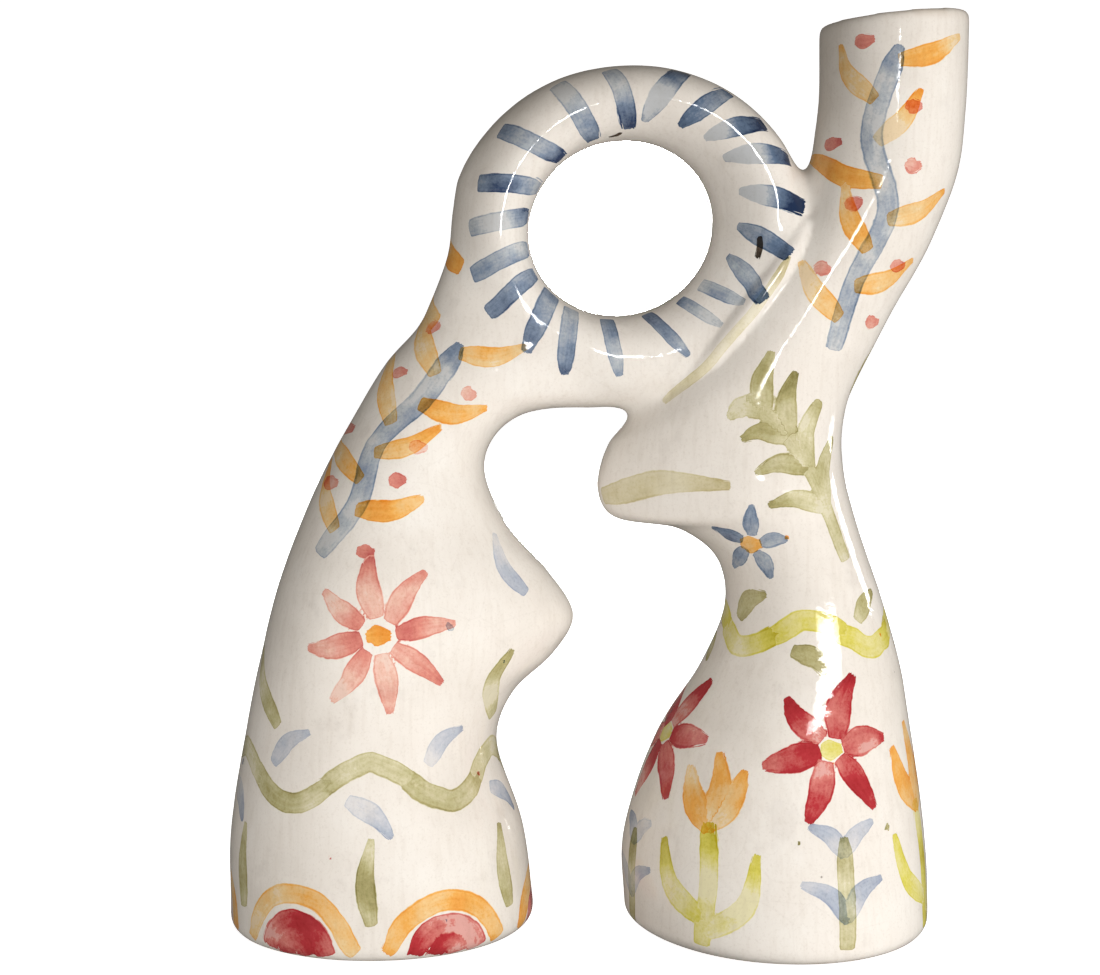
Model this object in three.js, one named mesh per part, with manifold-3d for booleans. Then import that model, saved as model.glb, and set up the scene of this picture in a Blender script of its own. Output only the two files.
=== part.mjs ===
// A hand-built earthenware vase: two hollow legs on round feet carry a ring between them,
// and the right leg swells into a breast with a blunt beak and runs on into a leaning neck.
// It is made as a potter makes it, from sections formed apart and luted together with slip:
// foot slabs, leg walls with tongue joints, a ring pressed in two halves, and two coils of clay
// that fill the groove where the breast laps over the ring's face.
// Millimetres. +X is to the right seen from the front, +Y to the back and +Z up.
// The origin is on the surface that the vase stands on, midway between its left and right ends.

import * as THREE from "three";
import { mergeVertices } from "three/addons/utils/BufferGeometryUtils.js";
import Module from "manifold-3d";

// Clay and joints
const WALL = 6.5; // wall of every hollow section
const HOLLOW_DRAW = 0.15; // share of a thicker left wall that the hollow also draws in from front and back
const SLIP = 0.3; // gap at each luted joint
const TONGUE = 5; // height of the tongue that keys one wall into the next
const SLAB = 10; // thickness of a foot slab
const FOOT_EDGE = 7; // round edge under a foot slab

// Feet
const LEFT_FOOT_X = -93.6;
const LEFT_FOOT_HALF_WIDTH = 66.8;
const LEFT_FOOT_HALF_DEPTH = 64;
const LEFT_FOOT_TUCK = 3; // how far its inner side draws in at the floor
const RIGHT_FOOT_X = 80;
const RIGHT_FOOT_HALF_WIDTH = 66.6;
const RIGHT_FOOT_HALF_DEPTH = 69;
const RIGHT_FOOT_TUCK = 9;

// Ring: an outer ellipse and a hole whose centre lies a little left of and above the ring's
const RING_X = 15.2;
const RING_Z = 301.5;
const RING_HALF_WIDTH = 79;
const RING_HALF_HEIGHT = 74;
const HOLE_LEFT = 4.4;
const HOLE_RAISE = 4.1;
const HOLE_HALF_WIDTH = 39.4;
const HOLE_HALF_HEIGHT = 37.4;
const HOLE_LEAN = 2; // how far the hole's top lies right of its middle
const RING_HALF_DEPTH = 22;
const RING_CREST = 0.36; // how far the ring's crest lies off the tube's middle, in half widths of the tube
const RING_CREST_AT = 15; // degrees round the ring where it lies furthest out
const RING_BITE = 4; // how far the breast's left edge lies inside the ring's outer edge
const BREAST_LAP = 19; // how much further it lies inside where it laps over the ring's face most
const LAP_FROM = -85; // degrees round the ring
const LAP_TO = 15;
const SADDLE_WALL = 9; // the breast's thicker wall behind the ring
const PORT_RADIUS = 7; // holes that join the ring's hollow to the legs
const SHOULDER_PORT = 222; // degrees round the ring, from +X towards +Z
const BREAST_PORT = -38;

// Luting coils
const COIL_RADIUS = 5.5;
const COIL_END_RADIUS = 3.5;
const COIL_SINK = 1.5; // how far under the ring's face a coil's centre runs
const COIL_IN = 18; // how far inside the ring's outer edge it runs where the breast laps most
const COIL_FROM = -76; // degrees round the ring
const COIL_TO = 6;

// Mouth, placed from the ring's right edge and its middle height
const MOUTH_OUT = 33.6;
const MOUTH_RISE = 93.5;
const MOUTH_TILT = 3; // how far its right side stands above its middle
const MOUTH_HALF_WIDTH = 31.8;
const MOUTH_HALF_DEPTH = 33;

// Fineness of the facets
const SIDES = 28;
const OUTER_STEPS = 3; // from one rib to the next
const INNER_STEPS = 1;
const RING_STEPS = 40;
const TUBE_STEPS = 8;
const ARC_STEPS = 4;

const wasm = await Module();
wasm.setup();

const radians = THREE.MathUtils.degToRad;

function ringOuter(degrees) {
  const angle = radians(degrees);
  return [RING_X + RING_HALF_WIDTH * Math.cos(angle), RING_Z + RING_HALF_HEIGHT * Math.sin(angle)];
}

function ringHole(degrees) {
  const angle = radians(degrees);
  const x = RING_X - HOLE_LEFT + HOLE_HALF_WIDTH * Math.cos(angle) + HOLE_LEAN * Math.sin(angle);
  return [x, RING_Z + HOLE_RAISE + HOLE_HALF_HEIGHT * Math.sin(angle)];
}

// The point a given distance in from the ring's outer edge towards its hole
function ringInside(degrees, distance) {
  const [outerX, outerZ] = ringOuter(degrees);
  const [holeX, holeZ] = ringHole(degrees);
  const share = distance / Math.hypot(holeX - outerX, holeZ - outerZ);
  return [outerX + share * (holeX - outerX), outerZ + share * (holeZ - outerZ)];
}

function ringMiddle(degrees) {
  const [outerX, outerZ] = ringOuter(degrees);
  const [holeX, holeZ] = ringHole(degrees);
  return [(outerX + holeX) / 2, (outerZ + holeZ) / 2];
}

// The share of the ring's half depth at an angle round its tube, whose crest lies off its middle
function ringBulge(degrees, angle) {
  const crest = RING_CREST * Math.cos(radians(degrees - RING_CREST_AT));
  return Math.sin(angle) * (1 + crest * Math.cos(angle));
}

// How much of its full lap the breast has at an angle of the ring
function lapShare(degrees) {
  return Math.sin((Math.PI * (degrees - LAP_FROM)) / (LAP_TO - LAP_FROM));
}

// A rib is one cross-section of a limb: its left and right ends as [x, z], its half depth,
// how much it narrows to a keel (above 0 at the left end, below 0 at the right end),
// and the thickness of clay at its left end.
function rib(left, right, halfDepth, keel = 0, leftWall = WALL) {
  return { left, right, halfDepth, keel, leftWall };
}

// Heights above the feet are in percent of the ring's height, so that the limbs always reach it
function up(percent) {
  return (RING_Z * percent) / 100;
}

// Places along X are counted from the foot below or from the ring beside them
const RING_LEFT = RING_X - RING_HALF_WIDTH;
const RING_RIGHT = RING_X + RING_HALF_WIDTH;
const leftOf = (x, percent) => [RING_LEFT + x, up(percent)];
const rightOf = (x, percent) => [RING_RIGHT + x, up(percent)];
const overLeftFoot = (x, percent) => [LEFT_FOOT_X + x, up(percent)];
const overRightFoot = (x, percent) => [RIGHT_FOOT_X + x, up(percent)];

// A level rib near a foot, drawn in from the foot's outline by given amounts at its left, right and front
function leftFootRib(height, leftIn, rightIn, depthIn) {
  const left = LEFT_FOOT_X - LEFT_FOOT_HALF_WIDTH + leftIn;
  const right = LEFT_FOOT_X + LEFT_FOOT_HALF_WIDTH - rightIn;
  return rib([left, height], [right, height], LEFT_FOOT_HALF_DEPTH - depthIn);
}

function rightFootRib(height, leftIn, rightIn, depthIn) {
  const left = RIGHT_FOOT_X - RIGHT_FOOT_HALF_WIDTH + leftIn;
  const right = RIGHT_FOOT_X + RIGHT_FOOT_HALF_WIDTH - rightIn;
  return rib([left, height], [right, height], RIGHT_FOOT_HALF_DEPTH - depthIn);
}

// Left limb, from the top of its foot slab to inside the ring. Each section ends on its last rib.
const leftLegRibs = [
  leftFootRib(SLAB, 0, 0, 0),
  leftFootRib(up(14.4), 0.5, 4.4, 3),
  leftFootRib(up(27.7), 6.7, 16.2, 8),
];
const bellyRibs = [
  rib(overLeftFoot(-55.9, 34.7), overLeftFoot(58.1, 34.7), 54, -0.1),
  rib(overLeftFoot(-51.9, 40.3), overLeftFoot(75.6, 40.3), 53, -0.25),
  rib(overLeftFoot(-48.1, 45.6), overLeftFoot(84.3, 45.6), 52, -0.32),
  rib(overLeftFoot(-42.2, 52.2), overLeftFoot(72.6, 52.2), 50, -0.25),
  rib(overLeftFoot(-34, 59.5), overLeftFoot(54.1, 59.5), 44, -0.1),
  rib(overLeftFoot(-23.5, 67.5), overLeftFoot(45.3, 67.5), 38),
];
const shoulderRibs = [
  rib(leftOf(-41.2, 74.5), leftOf(21.3, 72.1), 33),
  rib(leftOf(-27.2, 82.1), leftOf(32.8, 74.8), 28),
  rib(leftOf(-11.7, 88.2), leftOf(48.8, 75.6), 25),
  rib(leftOf(-3.7, 95.5), ringInside(262, 0), 22),
  rib(ringInside(172, 5), ringInside(260, 6), 12),
];
const leftRibs = [...leftLegRibs, ...bellyRibs, ...shoulderRibs];
const LEFT_LEG_TOP = leftLegRibs.length - 1;
const BELLY_TOP = LEFT_LEG_TOP + bellyRibs.length;
const SHOULDER_TOP = leftRibs.length - 1;

// Right limb, from the top of its foot slab to the mouth
const rightLegRibs = [
  rightFootRib(SLAB, 0, 0, 0),
  rightFootRib(up(12.8), -1, 1.4, 6),
  rightFootRib(up(28), 13.6, 7.3, 16),
  rightFootRib(up(38.3), 33.1, 12.6, 26),
  rib(overRightFoot(-22.7, 47.9), overRightFoot(45.4, 47.9), 36),
];

// A rib of the breast whose left end laps over the ring
function lapRib(degrees, right, halfDepth, keel, leftWall) {
  const lap = BREAST_LAP * lapShare(degrees);
  return rib(ringInside(degrees, RING_BITE + lap), right, halfDepth, keel, leftWall + lap);
}

const breastRibs = [
  rib(overRightFoot(-27, 54.2), overRightFoot(37.8, 55.1), 35, 0.05, 7.5),
  rib(overRightFoot(-44, 58.4), overRightFoot(33.5, 59.7), 35.5, 0.15, 12),
  rib(overRightFoot(-73.5, 60.2), overRightFoot(31, 62.7), 36, 0.3, 18),
  rib(overRightFoot(-79.2, 64), overRightFoot(28.5, 66.3), 36, 0.35, 16),
  rib(overRightFoot(-73.5, 71), overRightFoot(27, 71.8), 34.5, 0.2, 14),
  lapRib(-82, rightOf(15.3, 76.8), 32.5, 0.02, 2.2 * SADDLE_WALL),
  lapRib(-60, rightOf(20.3, 80.4), 30.7, -0.14, 2.2 * SADDLE_WALL),
  lapRib(-32, rightOf(33.8, 89), 29.2, -0.2, SADDLE_WALL),
  lapRib(-2, rightOf(51.3, 99.8), 29.2, -0.12, SADDLE_WALL),
  rib(rightOf(-3, 109.6), rightOf(61.6, 109.3), 30.5),
];
const neckRibs = [
  rib(rightOf(1.3, 118.1), rightOf(64.4, 118.1), 32),
  rib(
    [RING_RIGHT + MOUTH_OUT - MOUTH_HALF_WIDTH, RING_Z + MOUTH_RISE - MOUTH_TILT],
    [RING_RIGHT + MOUTH_OUT + MOUTH_HALF_WIDTH, RING_Z + MOUTH_RISE + MOUTH_TILT],
    MOUTH_HALF_DEPTH,
  ),
];
const rightRibs = [...rightLegRibs, ...breastRibs, ...neckRibs];
const WAIST = rightLegRibs.length - 1;
const NECK_ROOT = WAIST + breastRibs.length;
const MOUTH = rightRibs.length - 1;

// Smooth curves through the ribs, read by a station that counts ribs from 0
function limb(ribs) {
  const last = ribs.length - 1;
  const left = new THREE.CatmullRomCurve3(ribs.map((r) => new THREE.Vector3(r.left[0], 0, r.left[1])));
  const right = new THREE.CatmullRomCurve3(ribs.map((r) => new THREE.Vector3(r.right[0], 0, r.right[1])));
  const girth = new THREE.CatmullRomCurve3(
    ribs.map((r) => new THREE.Vector3(r.halfDepth, r.keel, r.leftWall)),
    false,
    "catmullrom",
  );
  const at = (curve, station) => curve.getPoint(THREE.MathUtils.clamp(station / last, 0, 1));
  return {
    last,
    left: (station) => at(left, station),
    right: (station) => at(right, station),
    girth: (station) => at(girth, station),
    middle: (station) => at(left, station).add(at(right, station)).multiplyScalar(0.5),
  };
}

// A loop of points round a limb at a station. Depth runs from 0 outside to 1 inside the wall.
function loop(path, station, depth, grow = 0) {
  const left = path.left(station);
  const right = path.right(station);
  const girth = path.girth(station);
  const across = right.clone().sub(left).normalize();
  const start = left.addScaledVector(across, depth * girth.z - grow);
  const end = right.addScaledVector(across, grow - depth * WALL);
  const centre = start.clone().add(end).multiplyScalar(0.5);
  const half = end.sub(start).multiplyScalar(0.5);
  const halfDepth = girth.x - depth * (WALL + HOLLOW_DRAW * (girth.z - WALL)) + grow;
  return Array.from({ length: SIDES }, (_, side) => {
    const angle = (side / SIDES) * 2 * Math.PI;
    const bulge = halfDepth * Math.sin(angle) * (1 + girth.y * Math.cos(angle));
    return centre.clone().addScaledVector(half, Math.cos(angle)).add(new THREE.Vector3(0, bulge, 0));
  });
}

// The station that lies a given distance further along a limb's middle line
function advance(path, station, distance) {
  const before = Math.max(station - 0.01, 0);
  const after = Math.min(station + 0.01, path.last);
  const speed = path.middle(after).distanceTo(path.middle(before)) / (after - before);
  return station + distance / speed;
}

function stationsBetween(from, to, stepsPerRib) {
  const count = Math.ceil((to - from) * stepsPerRib);
  return Array.from({ length: count + 1 }, (_, i) => from + ((to - from) * i) / count);
}

// A closed surface over loops of points. The loops close on each other, or the first and last are capped.
function skin(loops, closed) {
  const size = loops[0].length;
  const points = loops.flat();
  const faces = [];
  const bands = closed ? loops.length : loops.length - 1;
  for (let band = 0; band < bands; band++) {
    const low = band * size;
    const high = ((band + 1) % loops.length) * size;
    for (let i = 0; i < size; i++) {
      const next = (i + 1) % size;
      faces.push(low + i, low + next, high + i, high + i, low + next, high + next);
    }
  }
  if (!closed) {
    const top = (loops.length - 1) * size;
    points.push(meanOf(loops[0]), meanOf(loops[loops.length - 1]));
    for (let i = 0; i < size; i++) {
      const next = (i + 1) % size;
      faces.push(next, i, points.length - 2, top + i, top + next, points.length - 1);
    }
  }
  return facingOut(points, faces);
}

function meanOf(points) {
  return points.reduce((sum, point) => sum.add(point), new THREE.Vector3()).divideScalar(points.length);
}

// Turns the faces round if they enclose a negative volume
function facingOut(points, faces) {
  let volume = 0;
  for (let i = 0; i < faces.length; i += 3) {
    const [a, b, c] = [points[faces[i]], points[faces[i + 1]], points[faces[i + 2]]];
    volume += a.dot(new THREE.Vector3().crossVectors(b, c));
  }
  if (volume < 0) faces.reverse();
  const geometry = new THREE.BufferGeometry().setFromPoints(points);
  geometry.setIndex(faces);
  return geometry;
}

function solidOf(geometry) {
  const bare = new THREE.BufferGeometry().setAttribute("position", geometry.getAttribute("position"));
  bare.setIndex(geometry.index);
  const merged = mergeVertices(bare);
  return new wasm.Manifold(
    new wasm.Mesh({
      numProp: 3,
      vertProperties: merged.attributes.position.array,
      triVerts: new Uint32Array(merged.index.array),
    }),
  );
}

function geometryOf(solid) {
  const mesh = solid.getMesh();
  const geometry = new THREE.BufferGeometry();
  geometry.setAttribute("position", new THREE.BufferAttribute(mesh.vertProperties, mesh.numProp));
  geometry.setIndex(new THREE.BufferAttribute(mesh.triVerts, 1));
  return geometry;
}

// Lower end of a wall: square on a slab, or stepped to take the tongue of the wall below
function lowerEnd(path, station, keyed) {
  const seat = advance(path, station, SLIP);
  if (!keyed) return [[seat, 1]];
  const outerHalf = 0.5 - SLIP / WALL / 2;
  const step = advance(path, station, TONGUE + SLIP);
  return [
    [step, 1],
    [step, outerHalf],
    [seat, outerHalf],
  ];
}

// Upper end of a wall with a tongue on its inner half
function tongueEnd(path, station) {
  const innerHalf = 0.5 + SLIP / WALL / 2;
  const tip = advance(path, station, TONGUE);
  return [
    [station, innerHalf],
    [tip, innerHalf],
    [tip, 1],
  ];
}

// Upper end of a wall cut square
function squareEnd(path, station) {
  return [
    [station, 0],
    [station, 1],
  ];
}

// Upper end of a wall rounded over as a lip
function lipEnd(path, station) {
  return Array.from({ length: ARC_STEPS + 1 }, (_, i) => {
    const angle = (i / ARC_STEPS) * Math.PI;
    return [advance(path, station, (WALL / 2) * (Math.sin(angle) - 1)), 0.5 - 0.5 * Math.cos(angle)];
  });
}

// The wall of a limb between two stations, swept from its closed outline of stations and depths
function wall(path, from, to, { keyed, upperEnd }) {
  const lower = lowerEnd(path, from, keyed);
  const upper = upperEnd(path, to);
  const outer = stationsBetween(lower[lower.length - 1][0], upper[0][0], OUTER_STEPS);
  const innerSpan = stationsBetween(lower[0][0], upper[upper.length - 1][0], INNER_STEPS);
  const inner = innerSpan.slice(1, -1).reverse();
  const outline = [
    ...lower,
    ...outer.map((station) => [station, 0]),
    ...upper.filter(([, depth]) => depth > 0),
    ...inner.map((station) => [station, 1]),
  ];
  return skin(
    outline.map(([station, depth]) => loop(path, station, depth)),
    true,
  );
}

// A foot slab: a rounded lower edge, a flat seat for the wall and a low boss that keys inside it.
// Its inner side, at +X for 1 and -X for -1, draws in towards the floor.
function footSlab(path, inner, tuck) {
  const at = (height, inset) => {
    const points = loop(path, advance(path, 0, Math.max(height - SLAB, 0)), inset / WALL);
    const draw = tuck * Math.max(1 - height / SLAB, 0) ** 2;
    return points.map((point, side) => {
      const share = (1 + inner * Math.cos((side / SIDES) * 2 * Math.PI)) / 2;
      return new THREE.Vector3(point.x - inner * draw * share, point.y, height);
    });
  };
  const edge = Array.from({ length: ARC_STEPS + 1 }, (_, i) => {
    const angle = ((i / ARC_STEPS) * Math.PI) / 2;
    return at(FOOT_EDGE * (1 - Math.cos(angle)), FOOT_EDGE * (1 - Math.sin(angle)));
  });
  const boss = WALL + SLIP;
  return skin([...edge, at(SLAB, 0), at(SLAB, boss), at(SLAB + TONGUE, boss)], false);
}

// The ring as a solid, grown all round by a clearance
function ringSolid(grow) {
  const loops = Array.from({ length: RING_STEPS }, (_, step) => {
    const degrees = (step / RING_STEPS) * 360;
    return ringLoop(degrees, 0, 2 * Math.PI, grow);
  });
  return solidOf(skin(loops, true));
}

// Points round the ring's tube at an angle of the ring, over part of a turn, grown or shrunk
function ringLoop(degrees, from, to, grow) {
  const [outerX, outerZ] = ringInside(degrees, -grow);
  const [middleX, middleZ] = ringMiddle(degrees);
  const whole = to - from > Math.PI * 1.5;
  const count = whole ? 2 * TUBE_STEPS : TUBE_STEPS + 1;
  return Array.from({ length: count }, (_, i) => {
    const angle = from + ((to - from) * i) / (whole ? count : count - 1);
    return new THREE.Vector3(
      middleX + (outerX - middleX) * Math.cos(angle),
      (RING_HALF_DEPTH + grow) * ringBulge(degrees, angle),
      middleZ + (outerZ - middleZ) * Math.cos(angle),
    );
  });
}

// One half of the hollow ring: -1 is the front half and 1 the back half
function ringHalf(side) {
  const loops = Array.from({ length: RING_STEPS }, (_, step) => {
    const degrees = (step / RING_STEPS) * 360;
    const start = side < 0 ? Math.PI : 0;
    const outer = ringLoop(degrees, start, start + Math.PI, 0);
    const inner = ringLoop(degrees, start + Math.PI, start, -WALL);
    return [...outer, ...inner].map((point) => point.add(new THREE.Vector3(0, (side * SLIP) / 2, 0)));
  });
  return solidOf(skin(loops, true)).subtract(portHole(SHOULDER_PORT, WALL)).subtract(portHole(BREAST_PORT, WALL));
}

// A round hole out through the ring's outer wall and on beyond it
function portHole(degrees, beyond) {
  const [fromX, fromZ] = ringMiddle(degrees);
  const [toX, toZ] = ringInside(degrees, -beyond);
  const axis = new THREE.Vector3(toX - fromX, 0, toZ - fromZ);
  const geometry = new THREE.CylinderGeometry(PORT_RADIUS, PORT_RADIUS, axis.length(), SIDES / 2);
  const turn = new THREE.Quaternion();
  turn.setFromUnitVectors(new THREE.Vector3(0, 1, 0), axis.clone().normalize());
  geometry.applyQuaternion(turn);
  geometry.translate((fromX + toX) / 2, 0, (fromZ + toZ) / 2);
  return solidOf(geometry);
}

// A limb between two stations as a solid, grown all round by a clearance
function limbSolid(path, from, to, grow) {
  return solidOf(
    skin(
      stationsBetween(from, to, OUTER_STEPS).map((station) => loop(path, station, 0, grow)),
      false,
    ),
  );
}

// A coil of clay laid in the groove beside the breast's lap, thinner towards its ends
function coil(side) {
  const steps = RING_STEPS / 2;
  const loops = Array.from({ length: steps + 1 }, (_, step) => {
    const share = step / steps;
    const degrees = COIL_FROM + (COIL_TO - COIL_FROM) * share;
    const radius = COIL_END_RADIUS + (COIL_RADIUS - COIL_END_RADIUS) * Math.sin(Math.PI * share) ** 0.5;
    const [outerX, outerZ] = ringOuter(degrees);
    const [middleX, middleZ] = ringMiddle(degrees);
    const outward = new THREE.Vector3(outerX - middleX, 0, outerZ - middleZ);
    const halfWidth = outward.length();
    outward.normalize();
    const inset = COIL_IN * lapShare(degrees);
    const face = RING_HALF_DEPTH * ringBulge(degrees, Math.acos(1 - inset / halfWidth));
    const [centreX, centreZ] = ringInside(degrees, inset);
    return Array.from({ length: 2 * TUBE_STEPS }, (_, i) => {
      const angle = (i / TUBE_STEPS) * Math.PI;
      return new THREE.Vector3(centreX, side * (face - COIL_SINK), centreZ)
        .addScaledVector(outward, radius * Math.cos(angle))
        .add(new THREE.Vector3(0, radius * Math.sin(angle), 0));
    });
  });
  return solidOf(skin(loops, false));
}

const leftLimb = limb(leftRibs);
const rightLimb = limb(rightRibs);
const ringClearance = ringSolid(SLIP);
const breastClearance = limbSolid(rightLimb, WAIST, NECK_ROOT + 1, SLIP);

const glazedClay = { color: 0xe6ddd0, roughness: 0.12, metalness: 0 };
const bareClay = { color: 0xcdb79c, roughness: 0.8, metalness: 0 };

const vase = new THREE.Group();

function add(name, geometry, finish = glazedClay) {
  const mesh = new THREE.Mesh(geometry, new THREE.MeshStandardMaterial(finish));
  mesh.name = name;
  vase.add(mesh);
}

// Left side, from the floor up
add("left_foot_slab", footSlab(leftLimb, 1, LEFT_FOOT_TUCK), bareClay);
add("left_leg", wall(leftLimb, 0, LEFT_LEG_TOP, { keyed: false, upperEnd: tongueEnd }));
add("left_belly", wall(leftLimb, LEFT_LEG_TOP, BELLY_TOP, { keyed: true, upperEnd: tongueEnd }));
const shoulder = wall(leftLimb, BELLY_TOP, SHOULDER_TOP, { keyed: true, upperEnd: squareEnd });
add("left_shoulder", geometryOf(solidOf(shoulder).subtract(ringClearance)));

// Right side, from the floor up
add("right_foot_slab", footSlab(rightLimb, -1, RIGHT_FOOT_TUCK), bareClay);
add("right_leg", wall(rightLimb, 0, WAIST, { keyed: false, upperEnd: tongueEnd }));
const breast = wall(rightLimb, WAIST, NECK_ROOT, { keyed: true, upperEnd: tongueEnd });
add("breast", geometryOf(solidOf(breast).subtract(ringClearance).subtract(portHole(BREAST_PORT, SADDLE_WALL))));
const neck = wall(rightLimb, NECK_ROOT, MOUTH, { keyed: true, upperEnd: lipEnd });
add("neck", geometryOf(solidOf(neck).subtract(ringClearance)));

// Ring and the coils that lute it to the breast
add("ring_front", geometryOf(ringHalf(-1)));
add("ring_back", geometryOf(ringHalf(1)));
add("front_luting_coil", geometryOf(coil(-1).subtract(ringClearance).subtract(breastClearance)));
add("back_luting_coil", geometryOf(coil(1).subtract(ringClearance).subtract(breastClearance)));

// The origin is midway between the left and right ends
const box = new THREE.Box3().setFromObject(vase);
const centre = box.getCenter(new THREE.Vector3());
vase.children.forEach((mesh) => mesh.geometry.translate(-centre.x, -centre.y, -box.min.z));

export default vase;
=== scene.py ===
import math
from collections import namedtuple

import bpy
import numpy as np
from mathutils import Euler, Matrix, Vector, noise
from mathutils.bvhtree import BVHTree
from mathutils.interpolate import poly_3d_calc


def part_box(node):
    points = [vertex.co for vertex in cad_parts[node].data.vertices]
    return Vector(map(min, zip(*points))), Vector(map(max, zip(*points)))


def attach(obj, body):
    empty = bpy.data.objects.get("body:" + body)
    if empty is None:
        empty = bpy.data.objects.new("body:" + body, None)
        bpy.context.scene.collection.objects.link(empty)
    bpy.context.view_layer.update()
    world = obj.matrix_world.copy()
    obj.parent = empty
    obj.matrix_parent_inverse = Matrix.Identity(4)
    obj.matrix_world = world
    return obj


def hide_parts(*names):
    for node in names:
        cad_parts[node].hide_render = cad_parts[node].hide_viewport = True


# A hand-built ring vase: one glazed and painted skin, worked out in millimetres, cut into its clay sections

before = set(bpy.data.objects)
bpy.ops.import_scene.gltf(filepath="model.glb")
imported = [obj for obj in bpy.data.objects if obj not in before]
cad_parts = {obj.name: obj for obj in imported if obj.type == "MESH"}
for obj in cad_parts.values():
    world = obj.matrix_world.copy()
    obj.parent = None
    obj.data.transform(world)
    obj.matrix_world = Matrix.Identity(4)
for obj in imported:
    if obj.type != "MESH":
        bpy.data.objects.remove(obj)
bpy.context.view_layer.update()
MM = 0.001

# Sizes that the solids share
WALL = 6.5
HOLLOW_DRAW = 0.15
SLAB = 10.0
FOOT_EDGE = 7.0
Foot = namedtuple("Foot", "x half_width half_depth tuck")
LEFT_FOOT = Foot(x=-93.6, half_width=66.8, half_depth=64.0, tuck=3.0)
RIGHT_FOOT = Foot(x=80.0, half_width=66.6, half_depth=69.0, tuck=9.0)
RING_X, RING_Z, RING_HALF_WIDTH, RING_HALF_HEIGHT, RING_HALF_DEPTH = 15.2, 301.5, 79.0, 74.0, 22.0
HOLE_LEFT, HOLE_RAISE, HOLE_HALF_WIDTH, HOLE_HALF_HEIGHT, HOLE_LEAN = 4.4, 4.1, 39.4, 37.4, 2.0
RING_CREST, RING_CREST_AT = 0.36, 15.0
RING_BITE, BREAST_LAP, LAP_FROM, LAP_TO = 4.0, 19.0, -85.0, 15.0
SADDLE_WALL = 9.0
COIL_RADIUS, COIL_END_RADIUS, COIL_SINK, COIL_IN, COIL_FROM, COIL_TO = 5.5, 3.5, 1.5, 18.0, -76.0, 6.0
MOUTH_OUT, MOUTH_RISE, MOUTH_TILT, MOUTH_HALF_WIDTH, MOUTH_HALF_DEPTH = 33.6, 93.5, 3.0, 31.8, 33.0
RING_LEFT = RING_X - RING_HALF_WIDTH
RING_RIGHT = RING_X + RING_HALF_WIDTH

# The solids are centred on their box after they are made, so everything here moves with the ring
RING_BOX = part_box("ring_front")
SHIFT = (RING_BOX[0].x + RING_BOX[1].x) / 2 / MM - RING_X

# Fineness of the skin
SIDES = 144
STEPS_PER_RIB = 12
RING_STEPS = 240
TUBE_STEPS = 72
ARC_STEPS = 12
SHORT_STEP = 0.01
VOXEL = 1.3


# Curves and ribs

def unit(vectors):
    return vectors / np.linalg.norm(vectors, axis=-1, keepdims=True)


def round_angles(count):
    return np.linspace(0, 2 * np.pi, count, endpoint=False)


def in_space(flat, depth):
    """Points in the frame, from x and z in a plane and depths along y."""
    return np.stack([flat[..., 0] + SHIFT, depth, flat[..., 1]], -1)


def spline(points, stations, centripetal=True):
    """Smooth curve through points, read at stations that count the points from 0."""
    points = np.asarray(points, float)
    last = len(points) - 1
    stations = np.clip(np.asarray(stations, float), 0, last)
    padded = np.vstack([2 * points[0] - points[1], points, 2 * points[-1] - points[-2]])
    index = np.minimum(stations.astype(int), last - 1)
    weight = (stations - index)[:, None]
    p0, p1, p2, p3 = (padded[index + step] for step in range(4))
    if centripetal:
        d0, d1, d2 = (
            np.sqrt(np.maximum(np.linalg.norm(b - a, axis=1), 1e-9))[:, None]
            for a, b in ((p0, p1), (p1, p2), (p2, p3))
        )
        start = ((p1 - p0) / d0 - (p2 - p0) / (d0 + d1) + (p2 - p1) / d1) * d1
        end = ((p2 - p1) / d1 - (p3 - p1) / (d1 + d2) + (p3 - p2) / d2) * d1
    else:
        start = (p2 - p0) / 2
        end = (p3 - p1) / 2
    square = 3 * (p2 - p1) - 2 * start - end
    cube = 2 * (p1 - p2) + start + end
    return p1 + start * weight + square * weight**2 + cube * weight**3


def ring_outer(degrees):
    angle = np.radians(degrees)
    return np.stack(
        [RING_X + RING_HALF_WIDTH * np.cos(angle), RING_Z + RING_HALF_HEIGHT * np.sin(angle)], -1
    )


def ring_hole(degrees):
    angle = np.radians(degrees)
    x = RING_X - HOLE_LEFT + HOLE_HALF_WIDTH * np.cos(angle) + HOLE_LEAN * np.sin(angle)
    return np.stack([x, RING_Z + HOLE_RAISE + HOLE_HALF_HEIGHT * np.sin(angle)], -1)


def ring_inside(degrees, distance):
    """The point a distance in from the ring's outer edge towards its hole."""
    outer = ring_outer(degrees)
    inward = ring_hole(degrees) - outer
    return outer + distance * inward / np.linalg.norm(inward, axis=-1, keepdims=True)


def ring_bulge(degrees, angle):
    """The share of the ring's half depth at an angle round its tube, whose crest lies off its middle."""
    crest = RING_CREST * np.cos(np.radians(degrees - RING_CREST_AT))
    return np.sin(angle) * (1 + crest * np.cos(angle))


def lap_share(degrees):
    """How much of its full lap over the ring's face the breast has at an angle of the ring."""
    return np.sin(np.pi * (degrees - LAP_FROM) / (LAP_TO - LAP_FROM))


def up(percent):
    """A height as a share of the ring's."""
    return RING_Z * percent / 100


def places_from(origin_x):
    """Points by their distance right of an origin, and their height in percent of the ring's."""
    return lambda x, percent: (origin_x + x, up(percent))


over_left_foot = places_from(LEFT_FOOT.x)
over_right_foot = places_from(RIGHT_FOOT.x)
left_of_ring = places_from(RING_LEFT)
right_of_ring = places_from(RING_RIGHT)
Rib = namedtuple("Rib", "left right half_depth keel left_wall", defaults=(0.0, WALL))


def foot_rib(foot, height, left_in, right_in, depth_in):
    left, right = foot.x - foot.half_width + left_in, foot.x + foot.half_width - right_in
    return Rib((left, height), (right, height), foot.half_depth - depth_in)


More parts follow.
